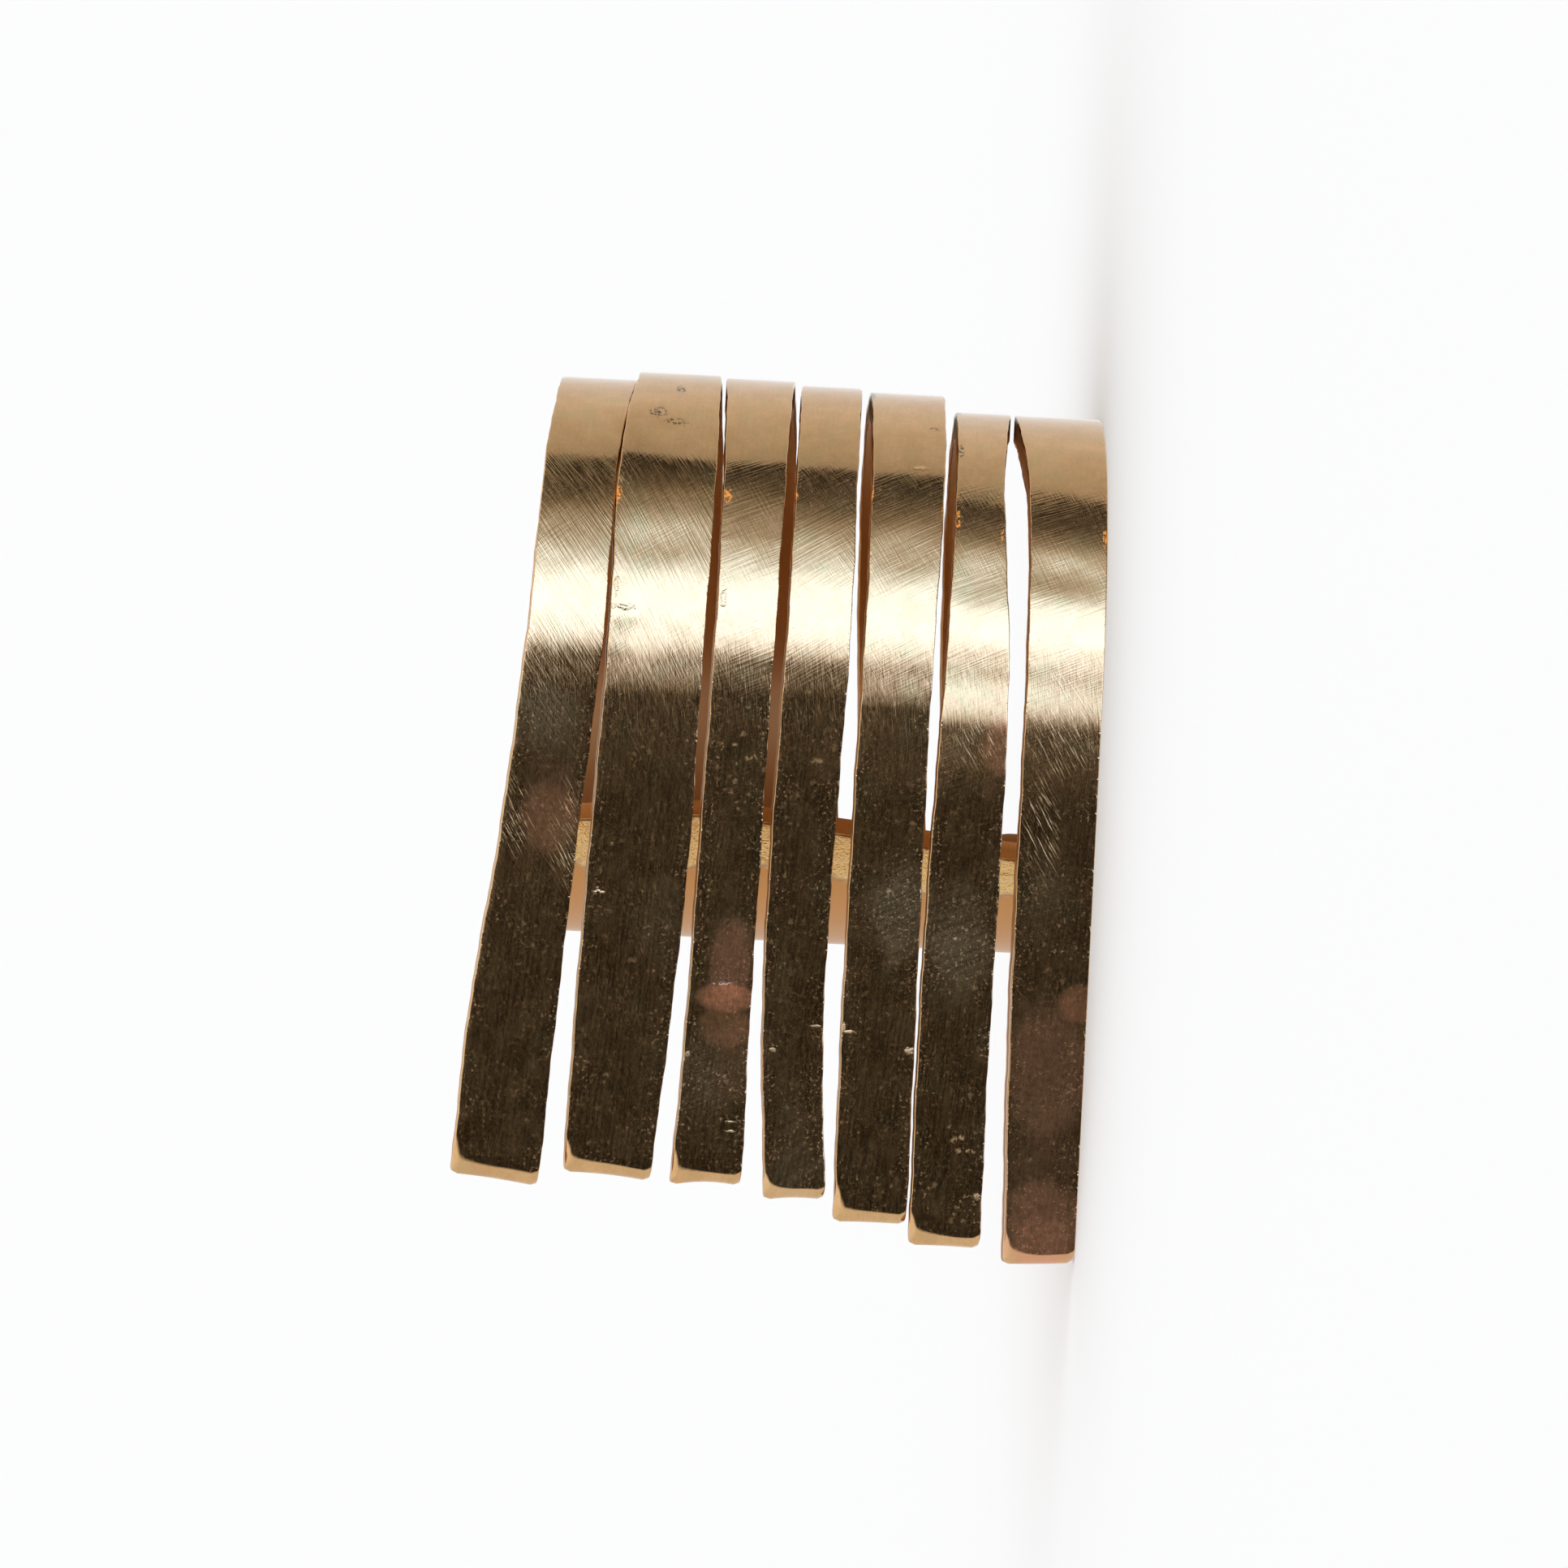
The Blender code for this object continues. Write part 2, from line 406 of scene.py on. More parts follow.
def shell_mesh(name, outer, inner, metal, attributes):
    """A closed shell from two grids of points: quads over the metal cells of both, and walls
    where a metal cell has no neighbour. `attributes` are arrays over the grid, for all layers."""
    size = outer[..., 0].size
    number = np.arange(size).reshape(outer.shape[:2])
    corners = (number[:-1, :-1], number[:-1, 1:], number[1:, 1:], number[1:, :-1])
    quads = np.stack([corner[metal] for corner in corners], axis=1)
    starts = quads.ravel()
    ends = np.roll(quads, -1, axis=1).ravel()
    rim = ~np.isin(starts * size + ends, ends * size + starts)
    starts, ends = starts[rim], ends[rim]
    walls = [
        np.stack((ends + step * size, starts + step * size,
                  starts + (step + 1) * size, ends + (step + 1) * size), axis=1)
        for step in range(WALL_STEPS)
    ]
    inside = quads[:, ::-1] + WALL_STEPS * size
    faces = np.concatenate([quads, inside] + walls)
    shares = np.linspace(0.0, 1.0, WALL_STEPS + 1)
    points = np.concatenate([
        (outer * (1 - share) + inner * share).reshape(-1, 3) for share in shares
    ])
    used, faces = np.unique(faces, return_inverse=True)
    faces = faces.reshape(-1, 4)
    mesh = bpy.data.meshes.new(name)
    mesh.vertices.add(len(used))
    mesh.vertices.foreach_set("co", points[used].ravel())
    mesh.loops.add(faces.size)
    mesh.loops.foreach_set("vertex_index", faces.ravel())
    mesh.polygons.add(len(faces))
    mesh.polygons.foreach_set("loop_start", np.arange(0, faces.size, 4))
    mesh.polygons.foreach_set("use_smooth", np.ones(len(faces), bool))
    mesh.update(calc_edges=True)
    for label, values in attributes.items():
        layered = np.concatenate([values(share) for share in shares])[used]
        kind, field = ("FLOAT_VECTOR", "vector") if layered.ndim == 2 else ("FLOAT", "value")
        made = mesh.attributes.new(label, kind, "POINT")
        made.data.foreach_set(field, layered.astype(np.float32).ravel())
    mesh.validate()
    return mesh


class Dent(NamedTuple):
    """A soft dent, or a bump if `depth` is negative: its place, its size along and across, and
    its depth, all in millimetres."""

    path: float
    height: float
    along: float
    across: float
    depth: float


DENTS = (
    # The step in the dark line over the second strip from the top
    Dent(33.5, 16.3, 1.1, 0.75, -0.06),
    Dent(36.1, 14.5, 1.1, 0.9, -0.05),
    # The burr's step, the bright hollow under it and the shadow beside it
    Dent(41.6, 16.75, 0.4, 0.35, -0.045),
    Dent(41.8, 15.95, 0.95, 0.27, 0.06),
    Dent(38.8, 14.3, 0.65, 0.7, 0.03),
    Dent(38.6, 18.6, 0.6, 0.8, 0.018),
    # The hollow across the three lowest strips, over their bright fronts
    Dent(39.5, 1.6, 0.8, 1.7, 0.1),
    Dent(39.7, 4.5, 0.85, 1.1, 0.08),
    Dent(39.0, 7.0, 0.85, 1.0, 0.042),
    Dent(38.0, 12.4, 0.8, 1.2, 0.026),
    Dent(39.2, 16.1, 0.8, 0.95, 0.07),
    # Flats where the tails were set
    Dent(49.3, 19.2, 1.6, 1.3, 0.01),
    Dent(51.3, 6.7, 1.3, 0.9, 0.01),
    Dent(51.4, 4.9, 1.5, 0.8, 0.008),
    Dent(54.2, 12.5, 1.4, 0.7, 0.01),
)

# Lengths and heights of the waves that hand work leaves in the strips, in millimetres
WAVES = ((7.3, 0.009), (4.1, 0.006), (2.3, 0.004), (1.3, 0.0016))
WAVE_SEED = 7
# How far a wave's crest leans along the metal, at most, as a share of the height
WAVE_LEAN = 0.7
# The share of the waves that the fold keeps, and the angles between which they grow to the full
FOLD_WAVES = 0.4
FULL_WAVES = (215.0, 235.0)
# The share of the waves that a tail loses, and how far from the front
TAIL_LOSES = 0.93
LOSS_SPAN = (-2.8 * MM, -0.4 * MM)
# The two steps of a bulge, from the front, how a deeper bulge moves the first, and its share
FIRST_STEP = (-1.6 * MM, 0.8 * MM)
FIRST_STEP_MOVES = (5, 6)
SECOND_STEP = (0.2 * MM, 4.6 * MM)
FIRST_SHARE = 0.75


def hand_work(sheet):
    """How far the bent sheet strays outwards from the true curve: a few long sine waves, which
    differ from strip to strip, less a bell curve for each dent, and at the front of each strip
    two soft steps where its bulge starts."""
    stray = np.zeros(sheet.path.shape)
    draws = np.random.default_rng(WAVE_SEED)
    for number in range(len(STRIPS)):
        here = sheet.strip == number
        for length, rise in WAVES:
            phase = draws.uniform(0, 2 * math.pi)
            lean = draws.uniform(-WAVE_LEAN, WAVE_LEAN)
            turn = 2 * math.pi * (sheet.path + lean * sheet.height) / (length * MM) + phase
            stray += here * rise * MM * np.sin(turn)
    # The strips were bent one by one, the band wasn't. The tails are flat, the fold is smooth.
    stray *= soft_step(sheet.path, path_at(SLIT_ANGLE), path_at(BACK_ANGLE))
    grown = soft_step(sheet.path, *[path_at(angle) for angle in FULL_WAVES])
    stray *= FOLD_WAVES + (1 - FOLD_WAVES) * grown
    from_front = sheet.path - path_at(FRONT_ANGLE)
    stray *= 1 - TAIL_LOSES * soft_step(from_front, *LOSS_SPAN)
    for dent in DENTS:
        along = (sheet.path / MM - dent.path) / dent.along
        across = (sheet.height / MM - dent.height) / dent.across
        stray -= dent.depth * MM * np.exp(-along ** 2 - across ** 2)
    belly = per_strip(sheet.strip, "belly") * MM
    start, stop = [FIRST_STEP[side] + FIRST_STEP_MOVES[side] * belly for side in (0, 1)]
    bulge = FIRST_SHARE * soft_step(from_front, start, stop)
    bulge += (1 - FIRST_SHARE) * soft_step(from_front, *SECOND_STEP)
    return stray + belly * bulge


def worn_ring():
    """The ring: the middle surface moved out and in along its normal by half of the metal, less
    the rounding of the edges and, outside at the tips, the longer rounding of the lips. Its
    attributes, functions of the share of the metal's thickness, are in millimetres."""
    sheet = ring_sheet()
    crown = per_strip(sheet.strip, "crown")
    x, y, normal_x, normal_y = middle_place(sheet.path, crown)
    stray = hand_work(sheet)
    x = x + normal_x * stray
    y = y + normal_y * stray
    across = np.clip(sheet.across, 0, 1)
    drop = rounding_drop(sheet.edge, EDGE_RADIUS, EDGE_RADIUS)
    swoosh = across ** LIP_SWOOSH
    lips = per_strip(sheet.strip, "lip")
    lip = (lips[..., 0] + (lips[..., 1] - lips[..., 0]) * swoosh) * MM
    lip *= 1 + LIP_SWAY * np.sin(9.0 * across + 2.0 * sheet.strip)
    power = LIP_POWER - LIP_POWER_LESS * swoosh
    out = METAL / 2 - np.maximum(drop, rounding_drop(sheet.tip, lip, LIP_DEPTH, power))
    into = METAL / 2 - drop
    # The saw leant over on the tails, so their upper walls show from the front
    lean = per_strip(sheet.strip, "slant") * MM * across ** 2
    lean *= soft_step(sheet.path - path_at(FRONT_ANGLE), *LEAN_SPAN)
    outer = np.stack((x + normal_x * out, y + normal_y * out, sheet.height), axis=2)
    inner = np.stack((x - normal_x * into, y - normal_y * into, sheet.height + lean), axis=2)

    def place(share):
        depth = np.full(sheet.path.shape, share * METAL)
        return np.stack((sheet.path, sheet.height, depth), axis=2).reshape(-1, 3) / MM

    def edge_near(share):
        return (sheet.edge if share in (0, 1) else 0 * sheet.edge).ravel() / MM

    def end_near(share):
        return sheet.end.ravel() / MM

    def grain(share):
        return np.radians(per_strip(sheet.strip, "grain")).ravel()

    def hidden(share):
        """1 where hands and polish don't reach and shade is painted: inside, in the cuts and under
        the tails.
        """
        outside = soft_step(sheet.path, *[path_at(angle) for angle in POLISHED_FROM])
        return (1 - outside * (share == 0)).ravel()

    def cut(share):
        return np.full(sheet.path.size, float(0 < share < 1))

    mesh = shell_mesh("worn_ring", outer, inner, sheet.metal, {
        "place": place,
        "edge_near": edge_near,
        "end_near": end_near,
        "grain": grain,
        "hidden": hidden,
        "cut": cut,
    })
    return new_object("worn_ring", mesh)


# Nodes

def feed(tree, socket, value):
    """Gives a socket its value, or a link if the value is a socket."""
    if isinstance(value, bpy.types.NodeSocket):
        tree.links.new(value, socket)
    else:
        socket.default_value = value


def node(tree, kind, settings=None, inputs=None):
    """A node of a kind, with its settings and its inputs."""
    made = tree.nodes.new(kind)
    for name, value in (settings or {}).items():
        setattr(made, name, value)
    for name, value in (inputs or {}).items():
        feed(tree, made.inputs[name], value)
    return made


def sums(tree, operation, *values):
    """The result of a Math node."""
    made = node(tree, "ShaderNodeMath", {"operation": operation}, dict(enumerate(values)))
    return made.outputs[0]


def product(tree, first, *others):
    """All of them multiplied."""
    for other in others:
        first = sums(tree, "MULTIPLY", first, other)
    return first


def added(tree, base, value, share):
    """The base plus a share of the value."""
    return sums(tree, "MULTIPLY_ADD", value, share, base)


def rest_of(tree, share):
    """What is missing to 1."""
    return sums(tree, "SUBTRACT", 1.0, share)


def vector_sums(tree, operation, *values):
    """The result of a Vector Math node."""
    made = node(tree, "ShaderNodeVectorMath", {"operation": operation}, dict(enumerate(values)))
    return made.outputs["Value" if operation == "LENGTH" else "Vector"]


def remap(tree, value, low, high, to_low=0.0, to_high=1.0):
    """The value moved from one range to another, with soft ends."""
    made = node(tree, "ShaderNodeMapRange", {"interpolation_type": "SMOOTHSTEP"},
                {"Value": value, "From Min": low, "From Max": high,
                 "To Min": to_low, "To Max": to_high})
    return made.outputs["Result"]


def tint(tree, share, first, second):
    """A colour between two, which are sockets or (red, green, blue)."""
    made = node(tree, "ShaderNodeMix", {"data_type": "RGBA"}, {"Factor": share})
    for socket, value in zip([s for s in made.inputs if s.type == "RGBA"], (first, second)):
        feed(tree, socket, (*value, 1.0) if isinstance(value, tuple) else value)
    return [s for s in made.outputs if s.type == "RGBA"][0]


def noise(tree, place, scale, detail=2.0, roughness=0.55):
    """Noise from 0 to 1 with soft features of about 1 / scale."""
    made = node(tree, "ShaderNodeTexNoise", inputs={
        "Vector": place, "Scale": scale, "Detail": detail, "Roughness": roughness})
    return made.outputs[0]


def new_group(name, vectors, values):
    """An empty node group. Returns it, its inputs' sockets by name and its output's socket."""
    group = bpy.data.node_groups.new(name, "ShaderNodeTree")
    for labels, kind in ((vectors, "NodeSocketVector"), (values, "NodeSocketFloat")):
        for label in labels:
            group.interface.new_socket(name=label, in_out="INPUT", socket_type=kind)
    group.interface.new_socket(name="Mask", in_out="OUTPUT", socket_type="NodeSocketFloat")
    given = group.nodes.new("NodeGroupInput").outputs
    return group, given, group.nodes.new("NodeGroupOutput").inputs["Mask"]


def placed(tree, group, **inputs):
    """A group's node in a material. Returns its output."""
    made = tree.nodes.new("ShaderNodeGroup")
    made.node_tree = group
    for name, value in inputs.items():
        feed(tree, made.inputs[name], value)
    return made.outputs[0]


def scratches_group():
    """Fine straight scratches: noise that is drawn out along one direction and cut off under
    Sparse."""
    group, given, result = new_group(
        "fine_scratches", ["Place"], ["Turn", "Length", "Width", "Sparse"])
    back = sums(group, "MULTIPLY", given["Turn"], -1.0)
    turned = node(group, "ShaderNodeVectorRotate", {"rotation_type": "Z_AXIS"},
                  {"Vector": given["Place"], "Angle": back}).outputs[0]
    size = node(group, "ShaderNodeCombineXYZ", inputs={
        "X": given["Length"], "Y": given["Width"], "Z": given["Length"]}).outputs[0]
    drawn = vector_sums(group, "DIVIDE", turned, size)
    lines = noise(group, drawn, 1.0, 2.0, 0.6)
    top = sums(group, "ADD", given["Sparse"], 0.22)
    group.links.new(remap(group, lines, given["Sparse"], top), result)
    return group


def spot_group():
    """A patch with a ragged rim: the distance from Centre in units of Size, disturbed by noise
    of a fineness of its own."""
    group, given, result = new_group(
        "ragged_spot", ["Place", "Centre", "Size"], ["Ragged", "Fineness", "Soft"])
    apart = vector_sums(group, "SUBTRACT", given["Place"], given["Centre"])
    flat = vector_sums(group, "MULTIPLY", apart, (1.0, 1.0, 0.0))
    away = vector_sums(group, "LENGTH", vector_sums(group, "DIVIDE", flat, given["Size"]))
    rough = noise(group, given["Place"], given["Fineness"], 3.0, 0.6)
    pushed = added(group, away, sums(group, "SUBTRACT", rough, 0.5), given["Ragged"])
    start = rest_of(group, given["Soft"])
    group.links.new(remap(group, pushed, start, 1.0, 1.0, 0.0), result)
    return group


def specks_group():
    """Small scattered specks: the middles of Voronoi cells, of which only a share shows. Noise
    pushes the cells about, so that the specks aren't round."""
    group, given, result = new_group("specks", ["Place"], ["Spacing", "Size", "Share"])
    scale = sums(group, "DIVIDE", 1.0, given["Spacing"])
    push = node(group, "ShaderNodeTexNoise", inputs={
        "Vector": given["Place"], "Scale": 7.0, "Detail": 2.0}).outputs["Color"]
    pushed = node(group, "ShaderNodeVectorMath", {"operation": "MULTIPLY_ADD"}, {
        0: push, 1: (0.34, 0.34, 0.0), 2: given["Place"]}).outputs[0]
    cells = node(group, "ShaderNodeTexVoronoi", inputs={"Vector": pushed, "Scale": scale})
    kept = node(group, "ShaderNodeSeparateColor", inputs={
        "Color": cells.outputs["Color"]}).outputs["Red"]
    shown = sums(group, "LESS_THAN", kept, given["Share"])
    size = sums(group, "MULTIPLY", given["Size"], scale)
    dot = remap(group, cells.outputs["Distance"], 0.0, size, 1.0, 0.0)
    group.links.new(product(group, dot, shown), result)
    return group


class Mark(NamedTuple):
    """A mark on the metal: its place, its size along and across, all in millimetres, and how
    strong it is."""

    path: float
    height: float
    along: float
    across: float
    share: float = 1.0


PITS = (
    Mark(33.45, 15.6, 0.42, 0.4),
    Mark(33.95, 15.02, 0.26, 0.55),
    Mark(31.6, 14.75, 0.38, 0.24),
    Mark(34.0, 5.05, 0.55, 0.14),
    Mark(33.3, 5.95, 0.14, 0.26),
    Mark(54.1, 12.6, 0.1, 0.45, 0.6),
)
NICKS = (
    Mark(40.9, 13.26, 0.34, 0.16),
    Mark(41.38, 16.7, 0.13, 0.42),
    Mark(40.7, 17.0, 0.55, 0.1),
    Mark(51.2, 17.1, 0.2, 0.25, 0.4),
)
# Raised metal: burrs, hooks, dashes and flakes, whose brightness is a painted highlight
BURRS = (
    Mark(35.5, 6.5, 0.13, 0.34),
    Mark(55.59, 8.2, 0.07, 0.26),
    Mark(55.45, 8.38, 0.22, 0.07),
    Mark(56.14, 6.08, 0.15, 0.2),
    Mark(56.35, 10.8, 0.1, 0.14, 0.7),
    Mark(55.45, 9.35, 0.06, 0.24, 0.6),
    Mark(56.64, 13.75, 0.13, 0.13, 0.6),
    Mark(58.9, 12.15, 0.05, 0.2, 0.7),
    Mark(59.23, 12.13, 0.05, 0.2, 0.7),
    Mark(61.06, 3.5, 0.14, 0.16, 0.8),
    Mark(36.79, 16.92, 0.16, 0.12, 0.8),
    Mark(37.86, 8.72, 0.14, 0.08, 0.7),
    Mark(39.01, 8.22, 0.12, 0.08, 0.9),
    Mark(39.6, 8.24, 0.36, 0.06, 0.9),
    Mark(37.14, 5.68, 0.14, 0.08, 0.7),
)
# Painted glints: hot orange light that the edges catch beside the brow, laid on as colour
SPARKS = (
    Mark(37.39, 17.00, 0.4, 0.16),
    Mark(37.21, 13.2, 0.42, 0.16),
    Mark(37.05, 10.84, 0.2, 0.07),
    Mark(36.68, 8.2, 0.45, 0.07),
    Mark(37.39, 5.72, 0.3, 0.08),
    Mark(37.58, 5.2, 0.7, 0.1),
    Mark(38.02, 3.66, 0.3, 0.06),
    Mark(38.05, 0.1, 0.5, 0.09),
)
VERDIGRIS = (
    Mark(29.6, 8.03, 1.5, 0.16),
    Mark(30.0, 5.45, 0.9, 0.16, 0.8),
    Mark(28.8, 4.98, 1.8, 0.18),
    Mark(28.2, 3.05, 1.7, 0.26),
)
BLUSHES = (
    Mark(54.62, 12.5, 0.6, 1.2, 0.75),
    Mark(55.6, 12.5, 0.9, 1.1, 0.3),
    Mark(54.2, 0.3, 0.8, 0.8, 0.45),
    Mark(62.6, 1.2, 1.2, 1.2, 0.2),
    Mark(48.8, 18.9, 1.5, 1.3, 0.25),
    Mark(45.5, 3.4, 1.2, 0.8, 0.4),
)
# Brown heat stains
STAINS = (
    Mark(53.3, 12.4, 1.9, 1.00, 0.85),
    Mark(56.8, 11.9, 2.0, 1.2, 0.3),
    Mark(56.6, 1.2, 3.2, 1.8, 0.65),
    Mark(59.9, 1.2, 2.0, 1.8, 0.22),
    Mark(62.0, 1.2, 2.2, 1.8, 0.9),
    Mark(48.2, 18.9, 2.0, 1.3, 0.35),
)
# Where the polish has worn to a greenish haze
HAZES = (
    Mark(51.3, 6.7, 2.4, 1.7, 1.0),
    Mark(52.4, 4.6, 3.0, 1.8, 0.8),
    Mark(50.6, 1.6, 2.6, 1.4, 0.4),
    Mark(45.2, 19.2, 2.0, 1.7, 0.7),
    Mark(52.0, 15.0, 2.5, 1.6, 0.25),
    Mark(60.0, 9.8, 3.0, 1.4, 0.45),
    Mark(57.6, 13.4, 2.2, 1.6, 0.5),
)
# Where short scratches crowd; their brightness is a painted highlight
STROKED = (
    Mark(42.5, 19.2, 3.8, 1.9, 0.5),
    Mark(48.7, 20.0, 1.8, 0.9),
    Mark(49.2, 18.2, 2.6, 0.8),
    Mark(44.3, 1.3, 3.2, 1.6, 0.7),
    Mark(48.3, 1.9, 2.4, 0.9),
    Mark(45.4, 4.2, 1.2, 1.2, 0.7),
)
DUSTED = (
    Mark(59.8, 3.9, 3.8, 1.5),
    Mark(52.6, 4.4, 2.8, 1.6, 0.8),
    Mark(46.2, 9.8, 2.6, 1.2, 0.6),
    Mark(55.8, 9.6, 1.8, 0.6, 0.6),
    Mark(53.0, 14.2, 1.2, 0.7, 0.6),
    Mark(57.8, 12.4, 2.2, 1.3, 0.8),
    Mark(46.0, 12.2, 3.4, 1.5, 0.8),
    Mark(47.5, 9.8, 2.5, 1.5, 0.5),
    Mark(49.5, 6.9, 3.4, 1.7, 0.6),
    Mark(52.2, 0.9, 2.6, 1.3, 0.7),
    Mark(60.8, 6.8, 1.2, 1.8, 0.5),
)


Tree = bpy.types.NodeTree
Socket = bpy.types.NodeSocket


class Surface(NamedTuple):
    """What the effects on the metal share: the material's tree, its node groups, the mesh's
    attributes as sockets, broad noise, and masks of what is outside, brushed or a tail."""

    tree: Tree
    scratches: Tree
    spot: Tree
    specks: Tree
    place: Socket
    path: Socket
    edge_near: Socket
    end_near: Socket
    grain: Socket
    hidden: Socket
    cut: Socket
    broad: Socket
    outer: Socket
    brow: Socket
    tail: Socket


class Patches(NamedTuple):
    """Soft patches: noise with a scale per millimetre, a detail and a roughness, whose values
    from `start` to `full` are moved to the range from `least` to `most`."""

    scale: float
    detail: float
    roughness: float
    start: float
    full: float
    least: float = 0.0
    most: float = 1.0


PATCHES = {
    "crumbs": Patches(6.5, 3.0, 0.6, 0.46, 0.56),
    "dusty": Patches(0.8, 2.0, 0.55, 0.46, 0.66),
    "burred": Patches(2.2, 3.0, 0.7, 0.54, 0.66),
    "mottled": Patches(5.0, 4.0, 0.7, 0.36, 0.64, 0.65, 1.15),
    "sparkling": Patches(7.0, 2.0, 0.6, 0.44, 0.52),
    "fine": Patches(8.0, 3.0, 0.75, 0.54, 0.69),
    "crowded": Patches(1.0, 3.0, 0.6, 0.38, 0.62, 0.18, 1.0),
    "cloud": Patches(1.4, 4.0, 0.6, 0.35, 0.65),
    "grit": Patches(7.5, 3.0, 0.7, 0.42, 0.6),
    "olive": Patches(0.7, 3.0, 0.55, 0.5, 0.66),
    "worn": Patches(0.9, 4.0, 0.65, 0.4, 0.68),
    "grime": Patches(6.0, 3.0, 0.75, 0.4, 0.66),
}

# Angles between which the brushing starts at the brow, and between which it ends on the tails
BROW_SPAN = (221.0, 231.0)
TAIL_SPAN = (243.0, 280.0)
# Lengths along the metal, in millimetres, where the streaks on the fronts start and end
STREAKS_START = (40.3, 42.3)
STREAKS_END = (47.5, 43.6)
# Angles between two crossed sets of scratches, and of the single sets from along the metal
CROSSING = math.radians(86)
LONG_TURN = math.radians(5)
STROKE_TURN = math.radians(-31)
STREAK_TURN = math.radians(-4)
FAINT_TURN = math.radians(78)
# Depths of the brushing in millimetres: on the tails, and how much more at the brow
HATCH_DEPTHS = (0.0002, 0.0025)
LONG_DEPTHS = (0.0005, 0.0016)

# How far each mask stands out of the metal, in millimetres
RELIEF = {
    "streaks": 0.0033, "clouds": 0.014, "strokes": 0.0018, "texture": 0.0003, "pits": -0.005,
    "nicks": 0.016, "raised": 0.004, "dots": 0.0002, "burrs": 0.006, "sawn": 0.012,
    "solder_grains": 0.3,
}
# How much each mask takes from the mirror: what is worn, dusty or stained is duller, and so are
# the painted glints, highlights, shade and reflections, so that their colour shows
DULLER = {
    "worn": 0.026, "grime": 0.022, "flecks": 0.34, "haze": 0.035, "haze_grain": 0.22,
    "haze_lines": 0.08, "tail_lines": 0.032, "blush": 0.34, "stain": 0.17, "dots": 0.38,
    "cut": 0.06, "facet": 0.2, "spark": 0.9, "green": 0.8, "strokes": 0.45, "raised": 0.3,
    "hidden": 0.08, "solder": -0.05,
}
# The roughness of the clean metal, and how much each mask adds to it
CLEAN_ROUGHNESS = 0.05
ROUGHER = {
    "patchy": 0.02, "dots": 0.15, "cut": 0.3, "pits": 0.3, "hidden": 0.32,
    "solder": -0.18, "raised": 0.15,
}


class Tint(NamedTuple):
    """The colour that a mask gives, and how much of it shows."""

    mask: str
    colour: tuple
    share: float = 1.0


GOLD = (0.6, 0.37, 0.175)
DEEP_GOLD = (0.54, 0.325, 0.148)
# Each lies over those before it
TINTS = (
    Tint("grit", (0.33, 0.2, 0.1), share=0.12),
    Tint("olive", (0.5, 0.4, 0.19), share=0.35),
    Tint("faint", (0.45, 0.265, 0.12), share=0.22),
    # Painted shade and bounced light on rougher, unpolished metal: inside, in the cuts and under
    # the tails the colour is a deeper orange-brown
    Tint("hidden", (0.52, 0.25, 0.082)),
    # Painted shade and bounced light: the sawn walls between the strips are tinted dark
    # orange-brown
    Tint("cut", (0.38, 0.17, 0.05)),
    # Painted reflection: the band end's filed facet is tinted saturated orange for the strips'
    # insides that it mirrors
    Tint("facet", (0.66, 0.29, 0.06)),
    Tint("solder", (0.8, 0.54, 0.22)),
    Tint("haze", (0.57, 0.435, 0.25)),
    Tint("stain", (0.6, 0.3, 0.175)),
    Tint("blush", (0.62, 0.235, 0.13)),
    Tint("pits", (0.1, 0.065, 0.035), share=0.85),
    # Painted highlight: the raised metal is tinted pale, as if it caught the light
    Tint("raised", (0.72, 0.45, 0.2)),
    # Painted highlight: the short scratches are tinted pale, as if they caught the light
    Tint("strokes", (0.86, 0.64, 0.35)),
    # Painted glint: bright orange colour stands in for light caught on the edges
    Tint("spark", (1.0, 0.36, 0.05)),
    Tint("green", (0.06, 0.14, 0.045), share=0.85),
)


def metal_surface(tree):
    """The shared sockets in a material's tree."""
    def attribute(name, output="Fac"):
        made = node(tree, "ShaderNodeAttribute", {"attribute_name": name})
        return made.outputs[output]

    place = attribute("place", "Vector")
    path = node(tree, "ShaderNodeSeparateXYZ", inputs={0: place}).outputs["X"]
    hidden = attribute("hidden")
    return Surface(
        tree=tree, scratches=scratches_group(), spot=spot_group(), specks=specks_group(),
        place=place, path=path, edge_near=attribute("edge_near"),
        end_near=attribute("end_near"), grain=attribute("grain"), hidden=hidden,
        cut=attribute("cut"), broad=noise(tree, place, scale=0.55, detail=3.0),
        outer=rest_of(tree, hidden),
        brow=remap(tree, path, *[path_at(angle) / MM for angle in BROW_SPAN]),
        tail=remap(tree, path, *[path_at(angle) / MM for angle in TAIL_SPAN]),
    )


def marks(surface, items, ragged, fineness, soft):
    """The strongest of the marks at each place."""
    total = 0.0
    for item in items:
        mask = placed(surface.tree, surface.spot, Place=surface.place,
                      Centre=(item.path, item.height, 0.0), Size=(item.along, item.across, 1.0),
                      Ragged=ragged, Fineness=fineness, Soft=soft)
        total = sums(surface.tree, "MAXIMUM", total, product(surface.tree, mask, item.share))
    return total


def lines(surface, turn, length, width, sparse):
    """A set of scratches with one direction."""
    return placed(surface.tree, surface.scratches, Place=surface.place, Turn=turn,
                  Length=length, Width=width, Sparse=sparse)


def patches(surface, name):
    """The patches of that name."""
    made = PATCHES[name]
    values = noise(surface.tree, surface.place, made.scale, made.detail, made.roughness)
    return remap(surface.tree, values, made.start, made.full, made.least, made.most)


